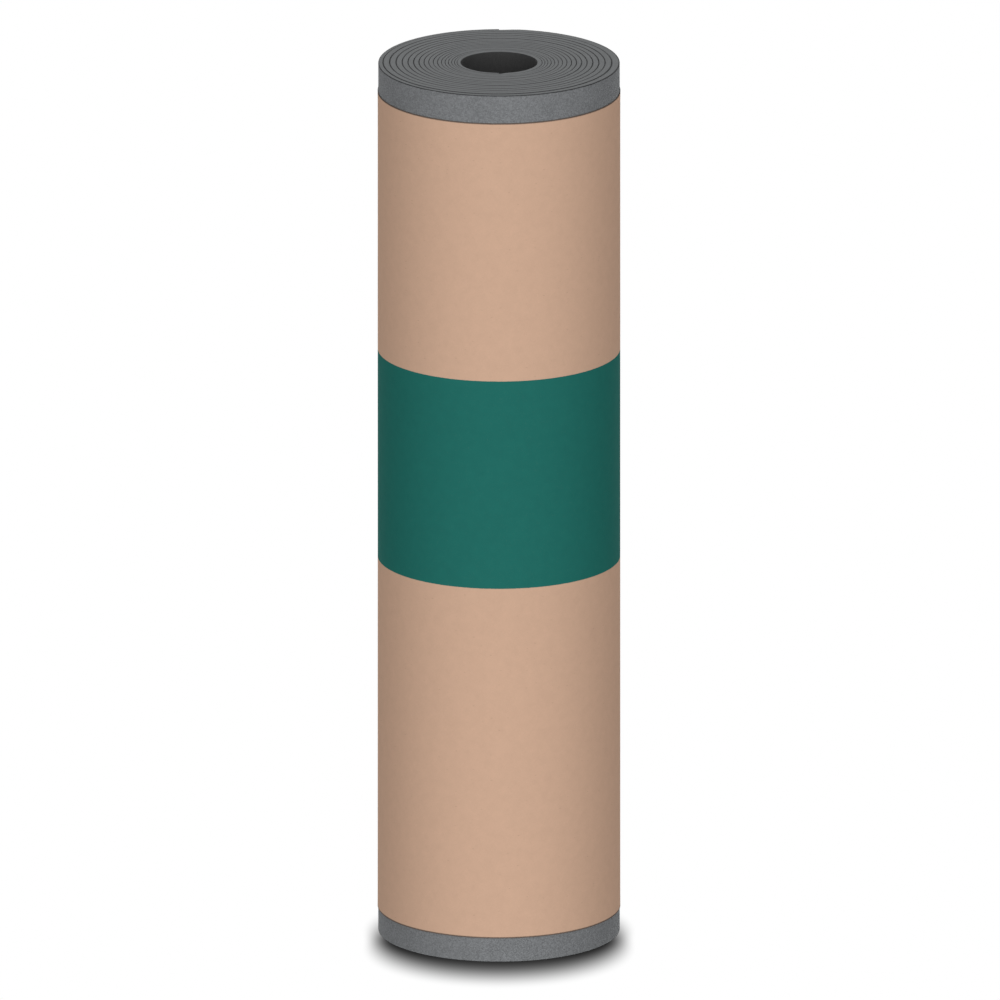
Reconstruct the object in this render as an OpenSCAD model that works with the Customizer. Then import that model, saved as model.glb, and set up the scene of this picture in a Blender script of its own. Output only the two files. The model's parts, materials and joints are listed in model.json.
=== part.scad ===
// Roll of mineral surfaced roofing felt, standing on its end in a printed paper wrapper.
// Millimetres. +Z is up along the axis of the roll, and the origin is the middle of its lower end.
// The front faces -Y. The outer ends of the sheet and of the paper are at the back, +Y.

/* [Sheet] */
// Width of the sheet, which is the height of the standing roll
sheet_w = 914.4; // [700:0.1:1200]
// Thickness of the sheet at its two cut ends
sheet_t = 3; // [2:0.1:5]

/* [Winding] */
// Outside diameter of the roll
roll_d = 245; // [180:1:320]
// Diameter of the open bore
bore_d = 78; // [50:1:110]
// Spacing of the turns beside the bore, where they are wound tight
pitch_in = 2.4; // [2.2:0.1:4]
// Spacing of the turns at the outside, where they are wound loose
pitch_out = 7; // [4:0.1:9]

/* [Gap between turns] */
// Width of the gap where it opens on the end faces
gap_w = 1; // [0.6:0.1:1.4]
// Width of the gap at its floor
gap_floor_w = 0.4; // [0.2:0.1:0.6]
// Depth of the gap below the end faces
gap_depth = 5; // [2:0.5:12]

/* [Wrapper] */
// Bare roll above the paper
bare_top = 29; // [5:1:60]
// Bare roll below the paper
bare_bottom = 25; // [5:1:60]
// Thickness of the paper
paper_t = 0.5; // [0.3:0.1:1]
// Length of the glued lap that closes the paper at the back
paper_lap = 60; // [20:1:120]

/* [Printed band] */
// Plain paper below the band
band_offset = 369; // [50:1:400]
// Height of the band
band_h = 219; // [50:1:300]

/* [Hidden] */
$fn = 180;

MINERAL_GREY = "#75787a";
KRAFT = "#cba890";
BAND_GREEN = "#256b63";

// How far a cut runs past the face that it opens
over = 1;
// Step that the winding's radii are rounded to, in mm, so that each half turn meets the next exactly
radius_step = 0.02;
// Direction of the outer ends of sheet and paper, from +X
back_angle = 90;

roll_r = roll_d / 2;
bore_r = bore_d / 2;

// The gap winds inwards from the sheet's outer end to its inner end, as half turns
wind_out_r = roll_r - sheet_t;
wind_in_r = bore_r + sheet_t;
pitch_mean = (pitch_in + pitch_out) / 2;
half_turns = round(2 * (wind_out_r - wind_in_r) / pitch_mean);

paper_z = bare_bottom;
paper_top = sheet_w - bare_top;
paper_r = roll_r;

// Over its lap the paper rises by one thickness, on an arc whose centre is moved towards its outer edge
lap_angle = paper_lap / (paper_r + paper_t) * 180 / PI;
lap_edge = back_angle + lap_angle / 2;
lap_shift = paper_t / (1 - cos(lap_angle));
lap_r = paper_r + 2 * paper_t - lap_shift;

band_z = paper_z + band_offset;
band_top = band_z + band_h;

// Share of the way in after a share u of the turns: the spacing falls steadily from pitch_out to pitch_in
function way_in(u) = (pitch_out * u + (pitch_in - pitch_out) * u * u / 2) / pitch_mean;

// Radius of the gap after k half turns
function gap_r(k) =
    radius_step * round((wind_out_r - (wind_out_r - wind_in_r) * way_in(k / half_turns)) / radius_step);

// Place of the gap after k half turns, on the line through both cut ends: one side, then the other
function crossing(k) = gap_r(k) * (k % 2 == 0 ? 1 : -1);

// Section of the gap, open upwards at height 0 and narrowing to its floor
module gap_section() {
    flare = over * (gap_w - gap_floor_w) / gap_depth;
    mouth = gap_w + flare;
    polygon([
        [-gap_floor_w / 2, -gap_depth],
        [gap_floor_w / 2, -gap_depth],
        [mouth / 2, over],
        [-mouth / 2, over]
    ]);
}

// Spiral gap: half turns about two centres in line, each ending where the next one starts
module spiral_gap() {
    for (k = [0 : half_turns - 1]) {
        centre = (crossing(k) + crossing(k + 1)) / 2;
        radius = (gap_r(k) + gap_r(k + 1)) / 2;
        translate([centre, 0, 0])
            rotate([0, 0, k % 2 == 0 ? 0 : 180])
                rotate_extrude(angle = 180)
                    translate([radius, 0])
                        gap_section();
    }
}

// Slot across one thickness of the sheet at its cut end, along the whole roll
module end_slot(from_r, to_r) {
    translate([from_r, -gap_w / 2, -over])
        cube([to_r - from_r, gap_w, sheet_w + 2 * over]);
}

// The wound sheet: a turned body with its bore, and the turns showing on both ends
module roofing_roll() {
    color(MINERAL_GREY)
        difference() {
            rotate_extrude()
                translate([bore_r, 0])
                    square([roll_r - bore_r, sheet_w]);
            rotate([0, 0, back_angle]) {
                translate([0, 0, sheet_w])
                    spiral_gap();
                mirror([0, 0, 1])
                    spiral_gap();
                end_slot(gap_r(0), roll_r + over);
                rotate([0, 0, half_turns % 2 == 0 ? 0 : 180])
                    end_slot(bore_r - over, gap_r(half_turns));
            }
        }
}

// Paper once round the roll
module paper_wall(height) {
    rotate_extrude()
        translate([paper_r, 0])
            square([paper_t, height]);
}

// The outer end of the paper, which rises from the wall over the inner end and is glued down on it
module glued_lap(height) {
    intersection() {
        rotate_extrude(angle = 2 * lap_angle, start = lap_edge - 2 * lap_angle)
            translate([paper_r + paper_t / 2, 0])
                square([2 * paper_t, height]);
        translate(lap_shift * [cos(lap_edge), sin(lap_edge)])
            cylinder(r = lap_r, h = height);
    }
}

// The paper between two heights
module paper_zone(z_low, z_high) {
    translate([0, 0, z_low]) {
        paper_wall(z_high - z_low);
        glued_lap(z_high - z_low);
    }
}

// The wrapper: one sheet of paper, with a broad printed band
module paper_wrapper() {
    color(KRAFT)
        paper_zone(paper_z, band_z);
    color(BAND_GREEN)
        paper_zone(band_z, band_top);
    color(KRAFT)
        paper_zone(band_top, paper_top);
}

roofing_roll();
paper_wrapper();
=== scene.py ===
"""Builds a standing roll of mineral surfaced roofing felt in its paper wrapper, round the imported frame."""

import json
import math

import bmesh
import bpy
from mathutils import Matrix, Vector, noise


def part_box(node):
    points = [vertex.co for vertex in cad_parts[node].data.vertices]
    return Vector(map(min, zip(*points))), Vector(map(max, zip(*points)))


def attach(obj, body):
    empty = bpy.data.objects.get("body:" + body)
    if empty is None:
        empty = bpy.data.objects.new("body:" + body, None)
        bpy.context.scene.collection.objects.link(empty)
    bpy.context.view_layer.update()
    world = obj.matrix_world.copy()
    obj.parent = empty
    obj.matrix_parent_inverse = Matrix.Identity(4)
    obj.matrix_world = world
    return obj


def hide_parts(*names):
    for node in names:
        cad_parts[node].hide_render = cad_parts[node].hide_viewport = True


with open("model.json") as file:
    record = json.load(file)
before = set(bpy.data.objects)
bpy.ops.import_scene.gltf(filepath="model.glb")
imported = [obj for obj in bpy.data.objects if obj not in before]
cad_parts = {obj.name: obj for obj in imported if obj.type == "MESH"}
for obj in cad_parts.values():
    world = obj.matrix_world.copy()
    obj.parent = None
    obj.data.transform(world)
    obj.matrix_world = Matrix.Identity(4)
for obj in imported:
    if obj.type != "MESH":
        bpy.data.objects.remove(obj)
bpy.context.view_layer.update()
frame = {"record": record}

bl_info = {
    "name": "Roll of Roofing Felt",
    "version": (1, 0, 0),
    "blender": (4, 5, 0),
    "location": "View3D > Sidebar > Roofing",
    "description": "Builds a standing roll of mineral surfaced roofing felt in its paper wrapper",
    "category": "Add Mesh",
}

MM = 0.001
BODY = "root"

ROLL_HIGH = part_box("roofing_roll")[1]
PAPER_LOW, PAPER_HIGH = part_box("paper_wrapper")
BORE = next(mount for mount in frame["record"]["mounts"] if mount["name"] == "bore")

# Direction of the outer ends of sheet and paper, from +X
BACK = math.pi / 2
# Size of the photograph's frame, in pixels
PHOTO_PIXELS = 1000
# Map that a piece's finish is baked through where the model is exported
BAKE_MAP = "OFBake"


def srgb(red, green, blue):
    """A colour given as it looks on a screen, from 0 to 255, as the linear one that shaders take."""
    shares = (level / 255 for level in (red, green, blue))
    return tuple(s / 12.92 if s <= 0.04045 else ((s + 0.055) / 1.055) ** 2.4 for s in shares)


def length(name, description, default):
    """A size in metres that the user can change."""
    return bpy.props.FloatProperty(
        name=name, description=description, default=default, unit="LENGTH", precision=5
    )


def colour(name, description, default):
    """A colour that the user can change."""
    return bpy.props.FloatVectorProperty(
        name=name, description=description, default=default, subtype="COLOR", size=3, min=0, max=1
    )


class FeltSizes(bpy.types.PropertyGroup):
    """Sizes of the wound sheet"""

    roll_radius: length("Roll radius", "Outside radius of the roll", ROLL_HIGH.x)
    bore_radius: length("Bore radius", "Radius of the open bore", BORE["dims"]["r_mm"] * MM)
    width: length("Sheet width", "Width of the sheet, which is the height of the roll", ROLL_HIGH.z)
    end_thickness: length("End thickness", "Thickness of the sheet at its two cut ends", 3 * MM)
    pitch_inside: length("Inner spacing", "Spacing of the turns beside the bore", 2.4 * MM)
    pitch_outside: length("Outer spacing", "Spacing of the turns at the outside", 7 * MM)
    gap: length("Gap", "Mean gap between two turns", 0.3 * MM)
    edge_round: length("Edge rounding", "Rounding of the sheet's long edges", 0.3 * MM)
    uneven: length("Unevenness", "How far some turns stand above the others", 0.5 * MM)


class WrapperSizes(bpy.types.PropertyGroup):
    """Sizes of the paper wrapper"""

    low: length("Lower edge", "Height of the paper's lower edge", PAPER_LOW.z)
    high: length("Upper edge", "Height of the paper's upper edge", PAPER_HIGH.z)
    radius: length("Radius", "Outside radius of the paper, clear of its lap", PAPER_HIGH.x)
    thickness: length("Thickness", "Thickness of the paper", 0.3 * MM)
    lap: length("Lap", "Length of the glued lap at the back", 60 * MM)
    waves: length("Waves", "Depth of the paper's soft waves", 0.1 * MM)
    edge_lift: length("Edge lift", "How far the paper's edges stand off the roll", 0.2 * MM)
    band_low: length("Band foot", "Height of the printed band's lower edge", 394 * MM)
    band_high: length("Band top", "Height of the printed band's upper edge", 613 * MM)


class Finishes(bpy.types.PropertyGroup):
    """Colours of the felt and of the paper"""

    mineral: colour("Mineral", "Mineral granules on the felt's face", srgb(119, 121, 123))
    cut_edge: colour("Cut edge", "The felt's trimmed edges", srgb(119, 121, 122))
    # Also the colour of painted shade in the gaps between turns and along the rims
    asphalt_and_shade: colour("Asphalt", "Bare asphalt beside the felt's faces and on its outer rim", srgb(44, 45, 46))
    backing: colour("Backing", "Sanded back of the felt", srgb(72, 72, 72))
    kraft: colour("Kraft", "Unprinted paper", srgb(203, 168, 144))
    # Also the colour of painted shade lines at the paper's edges, outer end and lap
    stain_and_shade: colour("Stain", "Asphalt that has crept into the paper's edges", srgb(80, 74, 69))
    band: colour("Band", "Ink of the printed band", srgb(31, 105, 97))


class StageSettings(bpy.types.PropertyGroup):
    """Camera and light"""

    elevation: bpy.props.FloatProperty(
        name="Elevation",
        description="Height of the view above the horizon",
        default=math.radians(16.07),
        subtype="ANGLE",
    )
    axis_pixel: bpy.props.FloatProperty(
        name="Axis pixel", description="Column of the roll's axis in the frame", default=499.0
    )
    base_pixel: bpy.props.FloatProperty(
        name="Base pixel", description="Row of the middle of the roll's lower end", default=928.5
    )
    top_pixel: bpy.props.FloatProperty(
        name="Top pixel", description="Row of the middle of the roll's upper end", default=62.5
    )
    side_light: bpy.props.FloatProperty(
        name="Side light", description="Light that comes from all round", default=0.05
    )
    front_light: bpy.props.FloatProperty(
        name="Front light", description="Broad light that comes from the front", default=2.54
    )
    rim_light: bpy.props.FloatProperty(
        name="Rim light", description="Two lights that come from behind, one on each side", default=4.5
    )
    top_light: bpy.props.FloatProperty(
        name="Top light", description="Light that comes from above", default=0.79
    )
    # Painted shade on the floor, not cast by the lights
    shade_shift: length("Shade shift", "How far in front of the roll its shade on the floor lies", 43 * MM)
    shade_soft: length("Shade softness", "Half the width of the shade's soft edge, at its sides", 16.5 * MM)
    shade_stretch: bpy.props.FloatProperty(
        name="Shade stretch", description="How many times as soft the shade is at its front", default=3.6
    )
    shade_depth: bpy.props.FloatProperty(
        name="Shade depth", description="How dark the shade is, from 0 to 1", default=0.84
    )


class RoofingRoll(bpy.types.PropertyGroup):
    """All settings of the roll"""

    felt: bpy.props.PointerProperty(type=FeltSizes)
    wrapper: bpy.props.PointerProperty(type=WrapperSizes)
    finishes: bpy.props.PointerProperty(type=Finishes)
    stage: bpy.props.PointerProperty(type=StageSettings)


class Field:
    """An output socket: arithmetic on it adds Math nodes to its tree, and node() adds any other node."""

    def __init__(self, tree, socket=None):
        self.tree = tree
        self.socket = socket

    def node(self, kind, settings=None, values=None, output=0):
        """Add a node with its settings, then its sockets' values or links, and return one of its outputs."""
        made = self.tree.nodes.new(kind)
        for name, value in (settings or {}).items():
            setattr(made, name, value)
        for name, value in (values or {}).items():
            if isinstance(value, Field):
                self.tree.links.new(value.socket, made.inputs[name])
            else:
                made.inputs[name].default_value = value
        return Field(self.tree, made.outputs[output] if made.outputs else None)

    def other(self, output):
        """Another output of the same node."""
        return Field(self.tree, self.socket.node.outputs[output])

    def math(self, operation, *values):
        """A Math node on these values."""
        return self.node("ShaderNodeMath", {"operation": operation}, dict(enumerate(values)))

    def __add__(self, value):
        return self.math("ADD", self, value)

    def __radd__(self, value):
        return self.math("ADD", value, self)

    def __sub__(self, value):
        return self.math("SUBTRACT", self, value)

    def __rsub__(self, value):
        return self.math("SUBTRACT", value, self)

    def __mul__(self, value):
        return self.math("MULTIPLY", self, value)

    def __rmul__(self, value):
        return self.math("MULTIPLY", value, self)

    def __pow__(self, value):
        return self.math("POWER", self, value)

    def __abs__(self):
        return self.math("ABSOLUTE", self)

    def above_zero(self):
        """This where it is positive, and 0 elsewhere."""
        return self.math("MAXIMUM", self, 0.0)

    def smooth(self, low, high):
        """0 below low, 1 above high, and a smooth step between them."""
        limits = {"Value": self, "From Min": low, "From Max": high}
        return self.node("ShaderNodeMapRange", {"interpolation_type": "SMOOTHSTEP"}, limits)

    def mix(self, first, second):
        """The first colour where this is 0, and the second where it is 1."""
        return self.node("ShaderNodeMix", {"data_type": "RGBA"}, {0: self, 6: first, 7: second}, 2)

    def tone(self, base):
        """A colour made lighter or darker by this."""
        settings = {"data_type": "RGBA", "blend_type": "MULTIPLY"}
        return self.node("ShaderNodeMix", settings, {0: 1.0, 6: base, 7: self}, 2)

    def stretched(self, scale):
        """These coordinates times a scale for each axis."""
        return self.node("ShaderNodeVectorMath", {"operation": "MULTIPLY"}, {0: self, 1: scale})

    def noise(self, scale, detail=2.0):
        """Soft noise from 0 to 1 on these coordinates."""
        values = {"Vector": self, "Scale": scale, "Detail": detail}
        return self.node("ShaderNodeTexNoise", {}, values, "Fac")

    def attribute(self, name):
        """A value that the piece's mesh carries."""
        return self.node("ShaderNodeAttribute", {"attribute_name": name}, {}, "Fac")


def opaque(rgb):
    """A colour with full alpha, for a colour socket."""
    return (*rgb, 1.0)


def blank_material(name):
    """A new material with an empty tree, and a field to build it from."""
    material = bpy.data.materials.new(name)
    material.use_nodes = True
    material.node_tree.nodes.clear()
    return material, Field(material.node_tree)


def finish_surface(tree, base, roughness, relief, depth, shine):
    """Close a tree with a matte shader whose bump follows a relief so many metres deep."""
    bump = tree.node("ShaderNodeBump", {}, {"Strength": 1.0, "Distance": depth, "Height": relief})
    shader = tree.node(
        "ShaderNodeBsdfPrincipled",
        {},
        {"Base Color": base, "Roughness": roughness, "Specular IOR Level": shine, "Normal": bump},
    )
    tree.node("ShaderNodeOutputMaterial", {}, {"Surface": shader})


def mineral_felt(finishes, sizes):
    """Granules on the sheet's face, darkened at its rims by wear and painted shade, trimmed edges darkened
    beside its faces and on the outer rim by bare asphalt and painted shade, and a sanded back.
    """
    material, tree = blank_material("mineral_felt")
    place = tree.node("ShaderNodeTexCoord", output="Object")
    turn = tree.attribute("turn")
    across = tree.attribute("across")
    height = tree.attribute("height")
    to_edge = height.math("MINIMUM", height, sizes.width - height)
    inside_edge = to_edge.smooth(sizes.edge_round, sizes.edge_round + 0.1 * MM)
    on_face = across.smooth(0.975, 0.995) * inside_edge
    on_back = (1 - across.smooth(0.005, 0.025)) * inside_edge
    # Painted shade along the outermost turn's outer rim, partly bare asphalt
    rim_asphalt_and_shade = across.smooth(0.8, 0.92) * (1 - turn.smooth(1.0, 1.05))
    # Painted shade in the gaps between turns on the cut ends, partly bare asphalt beside the faces; weaker
    # towards the bore
    to_face = across.math("MINIMUM", across, 1 - across)
    asphalt_and_gap_shade = (1 - to_face.smooth(0.02, 0.16)) * (0.8 - 0.4 * turn.smooth(4.0, 17.0))

    granule = tree.node("ShaderNodeTexVoronoi", {}, {"Vector": place, "Scale": 800.0}, "Distance")
    shade = tree.node("ShaderNodeSeparateColor", {}, {"Color": granule.other("Color")}, "Red")
    patches = place.noise(35.0)
    face = (0.8 + 0.38 * shade + 0.16 * (patches - 0.5)).tone(opaque(finishes.mineral))
    # Painted shade line along the face's top and bottom rims, partly worn asphalt; stronger at the top than
    # at the foot
    ragged = to_edge + 0.9 * MM * (place.noise(600.0, 1.0) - 0.5)
    worn_and_shaded = 1 - ragged.smooth(0.5 * MM, 1.1 * MM)
    wear_and_shade = 0.1 + 0.6 * height.smooth(0.0, sizes.width)
    face = (wear_and_shade * worn_and_shaded).mix(face, opaque(finishes.asphalt_and_shade))

    run = tree.node("ShaderNodeCombineXYZ", {}, {"X": 40 * turn, "Y": 5 * across})
    fibres = run.noise(1.0, 3.0)
    grain = place.noise(1400.0, 1.0)
    edge = (0.68 + 0.3 * fibres + 0.18 * grain + 0.16 * patches).tone(opaque(finishes.cut_edge))
    # Painted shade in the gaps between turns and on the outer rim, partly bare asphalt
    edge = rim_asphalt_and_shade.math("MAXIMUM", rim_asphalt_and_shade, asphalt_and_gap_shade).mix(edge, opaque(finishes.asphalt_and_shade))
    back = (0.7 + 0.6 * grain).tone(opaque(finishes.backing))

    base = on_back.mix(on_face.mix(edge, face), back)
    relief = on_face * (1 - worn_and_shaded) * (1 - granule) + 0.4 * (1 - on_face) * grain
    finish_surface(tree, base, 0.85 + 0.1 * grain, relief, depth=0.3 * MM, shine=0.2)
    return material


def kraft_paper(finishes, sizes):
    """Brown paper with cloudy stock, short fibres, a printed band, and asphalt stains, dust and glue with
    painted shade lines at its edges, outer end and lap.
    """
    material, tree = blank_material("kraft_paper")
    place = tree.node("ShaderNodeTexCoord", output="Object")
    height = tree.attribute("height")
    outside = tree.attribute("across").smooth(0.6, 0.9)
    around = math.tau * sizes.radius * tree.attribute("turn")
    sheet = tree.node("ShaderNodeCombineXYZ", {}, {"X": around, "Y": height})

    cloud = place.noise(110.0, 3.0)
    long_fibres = sheet.stretched((260.0, 2600.0, 1.0)).noise(1.0, 2.0)
    cross_fibres = sheet.stretched((1900.0, 300.0, 1.0)).noise(1.0, 2.0)
    fibres = long_fibres.math("MAXIMUM", long_fibres, cross_fibres)
    strokes = sheet.stretched((110.0, 380.0, 1.0))
    fleck = tree.node("ShaderNodeTexVoronoi", {}, {"Vector": strokes, "Scale": 1.0}, "Distance")
    chance = tree.node("ShaderNodeSeparateColor", {}, {"Color": fleck.other("Color")}, "Red")
    flecks = (1 - fleck.smooth(0.04, 0.16)) * chance.smooth(0.6, 0.95)
    stock = (0.83 + 0.1 * cloud + 0.22 * fibres - 0.22 * flecks).tone(opaque(finishes.kraft))

    ragged = height + 0.5 * MM * (place.noise(900.0, 1.0) - 0.5)
    soft = 0.2 * MM
    above = ragged.smooth(sizes.band_low - soft, sizes.band_low + soft)
    below = 1 - ragged.smooth(sizes.band_high - soft, sizes.band_high + soft)
    band = above * below * outside
    cover = 0.995 - 0.05 * fibres.smooth(0.62, 0.8)
    ink = (0.93 + 0.14 * cloud).tone(opaque(finishes.band))
    base = (band * cover).mix(stock, ink)
    # Partly asphalt stain, partly a painted shade line where the paper's edges meet the felt
    to_edge = ragged.math("MINIMUM", ragged - sizes.low, sizes.high - ragged)
    stain_and_edge_shade = 1 - to_edge.smooth(0.7 * MM, 1.8 * MM)
    # Partly dust, partly a painted shadow line along the paper's outer end
    to_end = math.tau * sizes.radius + sizes.lap - around
    dust_and_end_shadow = (1 - to_end.smooth(0.2 * MM, 0.9 * MM)) * (0.4 + 0.4 * cloud)
    # Partly glue, partly a painted shadow beneath the paper's outer end on the layer below
    glue_and_lap_shadow = (1 - abs(around - sizes.lap).smooth(0.4 * MM, 3 * MM)) * outside * (0.1 + 0.4 * cloud)
    # Stains, dust and glue together with their painted shade
    marks_and_painted_shade = stain_and_edge_shade.math("MAXIMUM", 0.9 * stain_and_edge_shade, dust_and_end_shadow.math("MAXIMUM", dust_and_end_shadow, glue_and_lap_shadow))
    base = marks_and_painted_shade.mix(base, opaque(finishes.stain_and_shade))

    relief = 0.6 * fibres + 0.4 * cloud
    finish_surface(tree, base, 0.9 - 0.1 * band, relief, depth=0.06 * MM, shine=0.01)
    return material


def edges_along(bm, axis):
    """Edges that run along one axis, 0 for X to 2 for Z."""
    found = []
    for edge in bm.edges:
        run = edge.verts[1].co - edge.verts[0].co
        if abs(run[axis]) > 0.9 * run.length:
            found.append(edge)
    return found


def flat_sheet(turns, thickness, low, high, edge_round=0.0):
    """A flat closed sheet, its turns along X, its thickness along Y from its back, and its width up Z."""
    bm = bmesh.new()
    bmesh.ops.create_cube(bm, size=1)
    bmesh.ops.translate(bm, verts=bm.verts, vec=(0.5, 0.5, 0.5))
    bmesh.ops.scale(bm, verts=bm.verts, vec=(turns, thickness, high - low))
    bmesh.ops.translate(bm, verts=bm.verts, vec=(0, 0, low))
    if edge_round:
        bmesh.ops.bevel(
            bm,
            geom=edges_along(bm, 0),
            offset=edge_round,
            offset_type="OFFSET",
            segments=3,
            profile=0.5,
            affect="EDGES",
            material=-1,
        )
    return bm


def cut_evenly(bm, axis, count):
    """Cut a flat sheet into so many equal lengths along an axis."""
    bmesh.ops.subdivide_edges(bm, edges=edges_along(bm, axis), cuts=count - 1, use_grid_fill=True)


def cut_at(bm, height):
    """Cut a flat sheet along its length at a height."""
    geom = bm.verts[:] + bm.edges[:] + bm.faces[:]
    bmesh.ops.bisect_plane(bm, geom=geom, plane_co=(0, 0, height), plane_no=(0, 0, 1))


def sheet_layers(bm):
    """What each vertex keeps of its place on the flat sheet: its turn, the share across, and its height."""
    layers = bm.verts.layers.float
    return [layers[name] for name in ("turn", "across", "height")]


def roll_up(bm, thickness, place):
    """Move each vertex of a flat sheet to its place on the winding."""
    for name in ("turn", "across", "height"):
        bm.verts.layers.float.new(name)
    turn, across, height = sheet_layers(bm)
    for vert in bm.verts:
        vert[turn] = vert.co.x
        vert[across] = vert.co.y / thickness
        vert[height] = vert.co.z
        vert.co = place(vert[turn], vert[across], vert[height])
    bmesh.ops.recalc_face_normals(bm, faces=bm.faces)


def smooth_step(share):
    """0 to 1 with level ends."""
    share = min(max(share, 0.0), 1.0)
    return share * share * (3 - 2 * share)


def polar(radius, angle, height):
    """A point on the winding."""
    return Vector((radius * math.cos(angle), radius * math.sin(angle), height))


class FeltWinding:
    """Where the wound sheet lies: from its outer cut end, turn 0, in to its inner cut end."""

    # Share of a turn over which the sheet comes in under its own cut end
    DIP = 0.03

    def __init__(self, sizes):
        self.sizes = sizes
        self.gap_out = sizes.roll_radius - sizes.end_thickness
        self.gap_in = sizes.bore_radius + sizes.end_thickness
        self.pitch_mean = (sizes.pitch_inside + sizes.pitch_outside) / 2
        self.gap_turns = round(2 * (self.gap_out - self.gap_in) / self.pitch_mean) / 2
        self.turns = self.gap_turns + 1

    def gap(self, turn):
        """Radii of the two sides of the gap between one turn and the next, outer side first."""
        sizes = self.sizes
        share = turn / self.gap_turns
        fall = (sizes.pitch_inside - sizes.pitch_outside) / 2
        way_in = (sizes.pitch_outside + fall * share) * share / self.pitch_mean
        middle = self.gap_out - (self.gap_out - self.gap_in) * way_in
        spot = polar(1.3, math.tau * turn, 0.4 * turn)
        half = sizes.gap * (0.5 + 0.3 * noise.noise(spot))
        return middle + half, middle - half

    def faces(self, turn):
        """Radii of the sheet's back and face at a turn."""
        sizes = self.sizes
        if turn < 1:
            under = smooth_step((turn - 1 + self.DIP) / self.DIP)
            face = sizes.roll_radius + under * (self.gap(0)[1] - sizes.roll_radius)
        else:
            face = self.gap(turn - 1)[1]
        if turn > self.gap_turns:
            over = smooth_step((turn - self.gap_turns) / self.DIP)
            end = self.gap(self.gap_turns)[0]
            back = end + over * (sizes.bore_radius - end)
        else:
            back = self.gap(turn)[0]
        return back, face

    def place(self, turn, across, height):
        """A point of the sheet."""
        back, face = self.faces(turn)
        lift = self.sizes.uneven * smooth_step(turn - 0.5)
        lift *= 0.5 + 0.5 * noise.noise(Vector((0.9 * turn, 5.2, 1.7)))
        return polar(back + (face - back) * across, BACK + math.tau * turn, height + lift)


class PaperWinding:
    """Where the paper lies: from its inner end, turn 0, once round and over its own start."""

    # Share of a turn over which the paper climbs over its inner end
    CLIMB = 0.02
    # How far from its edges the paper starts to stand off the roll
    EDGE_REACH = 14 * MM

    def __init__(self, sizes):
        self.sizes = sizes
        self.lap_share = sizes.lap / (math.tau * sizes.radius)
        self.turns = 1 + self.lap_share
        self.start = BACK - math.pi * self.lap_share

    def place(self, turn, across, height):
        """A point of the paper."""
        sizes = self.sizes
        angle = self.start + math.tau * turn
        climb = smooth_step((turn - 1 + self.CLIMB) / self.CLIMB)
        to_end = (self.turns - turn) * math.tau * sizes.radius
        to_edge = min(height - sizes.low, sizes.high - height, to_end)
        lift = sizes.edge_lift * math.exp(-to_edge / self.EDGE_REACH)
        lift *= 0.6 + 0.5 * noise.noise(polar(2.2, angle, 40 * height))
        wave = sizes.waves * (0.5 + 0.5 * noise.noise(polar(1.6, angle, 4 * height)))
        back = sizes.radius - sizes.thickness + climb * sizes.thickness
        return polar(back + across * sizes.thickness + lift + wave, angle, height)


def mean(face, layer):
    """Mean of what a face's vertices keep in a layer."""
    return sum(vert[layer] for vert in face.verts) / len(face.verts)


def map_felt(bm, winding, seams):
    """Lay the felt out on its map: most goes to the ends and, in two halves, to the bare strips."""
    uv = bm.loops.layers.uv.new(BAKE_MAP)
    turn, across, height = sheet_layers(bm)
    sizes = winding.sizes
    inmost = winding.turns - 1
    tiny = 1e-6
    # Where a part starts on the map and how much it takes, along the sheet or across it
    whole_turn = (0.005, 0.965)
    half_turn = (whole_turn[0], 2 * whole_turn[1])
    end_column = (0.975, 0.02)
    end_rows = (0.5, 0.43)
    bore_rows = (0.78, 0.15)
    hidden_rows = ((0.94, 0.02), (0.97, 0.02))
    end_radius = 0.245

    def share_up(at):
        """How far up its part of the map a height lies: the bare strips beyond the seams take most of it."""
        low, high = seams
        if at <= low:
            return 0.45 * at / low
        if at <= high:
            return 0.45 + 0.1 * (at - low) / (high - low)
        return 0.55 + 0.45 * (at - high) / (sizes.width - high)

    for face in bm.faces:
        at_turn = mean(face, turn)
        at_height = mean(face, height)
        outwards = mean(face, across) > 0.5
        cut_end = at_turn < tiny or at_turn > winding.turns - tiny
        if cut_end:
            columns, rows, first = end_column, end_rows, None
        elif outwards and at_turn < 1:
            half = math.floor(2 * at_turn)
            columns, rows, first = half_turn, (0.5 + 0.14 * half, 0.135), 0.5 * half
        elif not outwards and at_turn > inmost:
            columns, rows, first = whole_turn, bore_rows, inmost
        else:
            columns, rows, first = whole_turn, hidden_rows[outwards], math.floor(at_turn)
        on_end = not sizes.edge_round < at_height < sizes.width - sizes.edge_round
        middle = Vector((0.25 if at_height > sizes.width / 2 else 0.75, 0.25))
        for loop in face.loops:
            vert = loop.vert
            if on_end:
                loop[uv].uv = middle + end_radius * vert.co.xy / sizes.roll_radius
            else:
                along = vert[across] if cut_end else vert[turn] - first
                up = share_up(vert[height])
                loop[uv].uv = (columns[0] + columns[1] * along, rows[0] + rows[1] * up)


def map_paper(bm, winding):
    """Lay the paper out on its map: its outside fills nearly all of it, and its back the rest."""
    uv = bm.loops.layers.uv.new(BAKE_MAP)
    turn, across, height = sheet_layers(bm)
    sizes = winding.sizes
    back_rows = (0, 0.03)
    outside_rows = (0.04, 0.96)
    for face in bm.faces:
        low, share = back_rows if mean(face, across) < 0.01 else outside_rows
        for loop in face.loops:
            up = (loop.vert[height] - sizes.low) / (sizes.high - sizes.low)
            loop[uv].uv = (loop.vert[turn] / winding.turns, low + share * up)


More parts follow.
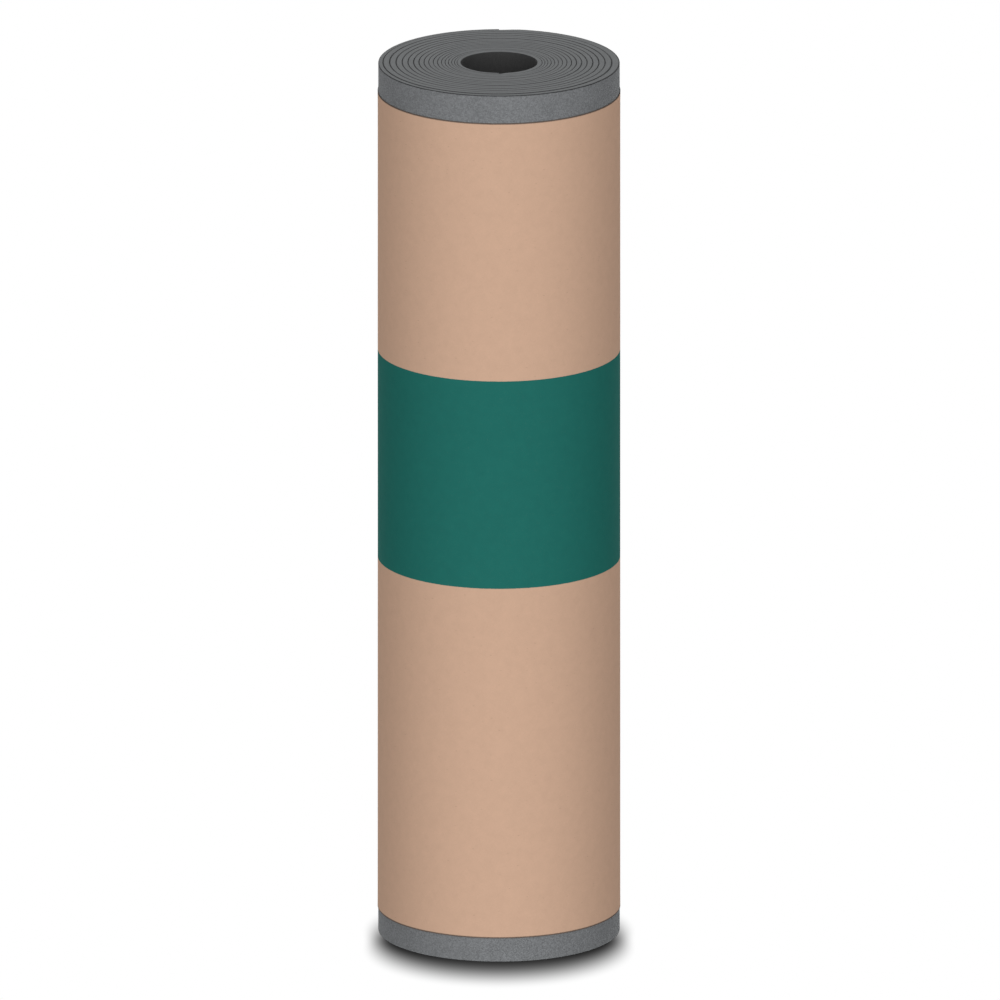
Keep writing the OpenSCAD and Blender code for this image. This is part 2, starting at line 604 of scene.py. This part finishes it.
def add_piece(name, bm, node, material):
    """Make the mesh a piece of the object that stands for a node of the frame."""
    for face in bm.faces:
        face.smooth = True
    mesh = bpy.data.meshes.new(name)
    bm.to_mesh(mesh)
    bm.free()
    mesh.materials.append(material)
    piece = bpy.data.objects.new(name, mesh)
    bpy.context.scene.collection.objects.link(piece)
    normals = piece.modifiers.new("flat_faces", "WEIGHTED_NORMAL")
    normals.weight = 100
    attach(piece, BODY)
    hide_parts(node)
    return piece


class ROOFING_OT_wound_felt(bpy.types.Operator):
    """Wind the felt sheet into its roll"""

    bl_idname = "roofing.wound_felt"
    bl_label = "Wound Felt"

    # Steps of each turn
    STEPS = 108
    # Thickness of the flat sheet, before the winding sets that of each turn
    FLAT_THICKNESS = 4 * MM
    # How far below the paper's edges the bare strips of the map reach
    UNDER_PAPER = 2 * MM

    def execute(self, context):
        settings = context.scene.roofing_roll
        sizes = settings.felt
        winding = FeltWinding(sizes)
        wrapper = settings.wrapper
        seams = (wrapper.low + self.UNDER_PAPER, wrapper.high - self.UNDER_PAPER)
        bm = flat_sheet(winding.turns, self.FLAT_THICKNESS, 0, sizes.width, sizes.edge_round)
        for height in seams:
            cut_at(bm, height)
        cut_evenly(bm, 0, round(winding.turns * self.STEPS))
        roll_up(bm, self.FLAT_THICKNESS, winding.place)
        map_felt(bm, winding, seams)
        material = mineral_felt(settings.finishes, sizes)
        add_piece("wound_felt", bm, "roofing_roll", material)
        return {"FINISHED"}


class ROOFING_OT_paper_wrapper(bpy.types.Operator):
    """Wrap the paper round the roll"""

    bl_idname = "roofing.paper_wrapper"
    bl_label = "Paper Wrapper"

    # Steps of the turn
    STEPS = 360
    # Rows of faces up the paper
    ROWS = 70

    def execute(self, context):
        settings = context.scene.roofing_roll
        sizes = settings.wrapper
        winding = PaperWinding(sizes)
        bm = flat_sheet(winding.turns, sizes.thickness, sizes.low, sizes.high)
        cut_evenly(bm, 0, round(winding.turns * self.STEPS))
        cut_evenly(bm, 2, self.ROWS)
        roll_up(bm, sizes.thickness, winding.place)
        map_paper(bm, winding)
        material = kraft_paper(settings.finishes, sizes)
        add_piece("wrapper", bm, "paper_wrapper", material)
        return {"FINISHED"}


def seen_directly(tree):
    """1 for what the camera, a reflection or glass sees, and 0 for light on a surface."""
    ray = tree.node("ShaderNodeLightPath", output="Is Camera Ray")
    gloss = ray.other("Is Glossy Ray")
    return ray.math("MAXIMUM", ray.math("MAXIMUM", ray, gloss), ray.other("Is Transmission Ray"))


def light_the_world(stage):
    """Soft light from the front, from above and from two sides behind, and white where it is seen."""
    world = bpy.data.worlds.new("soft_box")
    bpy.context.scene.world = world
    world.use_nodes = True
    world.node_tree.nodes.clear()
    tree = Field(world.node_tree)
    direction = tree.node("ShaderNodeTexCoord", output="Generated")
    depth = tree.node("ShaderNodeSeparateXYZ", {}, {"Vector": direction}, "Y")
    # How far to each side of straight behind the rim lights stand
    slant = math.radians(30)
    behind = math.sin(slant) * abs(depth.other("X")) + math.cos(slant) * depth
    # The higher the power, the narrower the light
    front = stage.front_light * (-1 * depth).above_zero() ** 4.0
    rim = stage.rim_light * behind.above_zero() ** 16.0
    top = stage.top_light * depth.other("Z").above_zero() ** 2.0
    light = stage.side_light + front + rim + top
    strength = light + seen_directly(tree) * (1 - light)
    sky = tree.node("ShaderNodeBackground", {}, {"Color": (1, 1, 1, 1), "Strength": strength})
    tree.node("ShaderNodeOutputWorld", {}, {"Surface": sky})


def pale_floor(stage, radius):
    """A floor that looks white, has a painted soft shade round a roll's foot, and lets light through from
    below.
    """
    material, tree = blank_material("pale_floor")
    place = tree.node("ShaderNodeTexCoord", output="Object")
    beside = tree.node("ShaderNodeSeparateXYZ", {}, {"Vector": place}, "X")
    ahead = beside.other("Y") + stage.shade_shift
    slow_ahead = stage.shade_stretch * ahead
    away = (beside * beside + ahead * ahead) ** 0.5
    slowness = (beside * beside + slow_ahead * slow_ahead) ** 0.5
    past_rim = away.math("DIVIDE", away * (away - radius), slowness)
    # Painted shade: darker near the roll's foot and reaching further to its front
    lit = 1 - stage.shade_depth * (1 - past_rim.smooth(-stage.shade_soft, stage.shade_soft))
    look = tree.node("ShaderNodeEmission", {}, {"Color": lit ** 2.2, "Strength": 1.0})
    clear = tree.node("ShaderNodeBsdfTransparent")
    both = tree.node("ShaderNodeMixShader", {}, {0: seen_directly(tree), 1: clear, 2: look})
    tree.node("ShaderNodeOutputMaterial", {}, {"Surface": both})
    return material


class ROOFING_OT_stage(bpy.types.Operator):
    """Set up the floor, the light and the camera"""

    bl_idname = "roofing.stage"
    bl_label = "Stage"

    FLOOR_SIZE = 30.0
    CAMERA_DISTANCE = 4.0

    def execute(self, context):
        scene = context.scene
        stage = scene.roofing_roll.stage
        scene.view_settings.view_transform = "Standard"
        light_the_world(stage)
        self.add_floor(scene, stage)
        self.add_camera(scene, stage)
        return {"FINISHED"}

    def add_floor(self, scene, stage):
        """A plain floor that the roll stands on."""
        bm = bmesh.new()
        bmesh.ops.create_grid(bm, x_segments=1, y_segments=1, size=self.FLOOR_SIZE / 2)
        mesh = bpy.data.meshes.new("floor")
        bm.to_mesh(mesh)
        bm.free()
        mesh.materials.append(pale_floor(stage, scene.roofing_roll.felt.roll_radius))
        floor = bpy.data.objects.new("floor", mesh)
        scene.collection.objects.link(floor)

    def add_camera(self, scene, stage):
        """A parallel view from a little above, with the roll where the photograph has it."""
        rise = scene.roofing_roll.felt.width * math.cos(stage.elevation)
        pixel = rise / (stage.base_pixel - stage.top_pixel)
        middle = PHOTO_PIXELS / 2
        data = bpy.data.cameras.new("camera")
        data.type = "ORTHO"
        data.ortho_scale = PHOTO_PIXELS * pixel
        camera = bpy.data.objects.new("camera", data)
        scene.collection.objects.link(camera)
        camera.rotation_euler.x = math.pi / 2 - stage.elevation
        offset = Vector((
            (middle - stage.axis_pixel) * pixel,
            (stage.base_pixel - middle) * pixel,
            self.CAMERA_DISTANCE,
        ))
        camera.location = camera.rotation_euler.to_matrix() @ offset
        scene.camera = camera


class ROOFING_PT_panel(bpy.types.Panel):
    """Sizes, colours and steps of the roofing roll"""

    bl_label = "Roll of Roofing Felt"
    bl_idname = "ROOFING_PT_panel"
    bl_space_type = "VIEW_3D"
    bl_region_type = "UI"
    bl_category = "Roofing"

    def draw(self, context):
        settings = context.scene.roofing_roll
        for group in (settings.felt, settings.wrapper, settings.finishes, settings.stage):
            box = self.layout.box()
            for name in group.__annotations__:
                box.prop(group, name)
        for operator in OPERATORS:
            self.layout.operator(operator.bl_idname)


GROUPS = (FeltSizes, WrapperSizes, Finishes, StageSettings, RoofingRoll)
OPERATORS = (ROOFING_OT_wound_felt, ROOFING_OT_paper_wrapper, ROOFING_OT_stage)
CLASSES = (*GROUPS, *OPERATORS, ROOFING_PT_panel)


def register():
    for cls in CLASSES:
        bpy.utils.register_class(cls)
    bpy.types.Scene.roofing_roll = bpy.props.PointerProperty(type=RoofingRoll)


def unregister():
    del bpy.types.Scene.roofing_roll
    for cls in reversed(CLASSES):
        bpy.utils.unregister_class(cls)


def main():
    """Build the roll."""
    register()
    bpy.ops.roofing.wound_felt()
    bpy.ops.roofing.paper_wrapper()
    bpy.ops.roofing.stage()


if __name__ == "__main__":
    main()
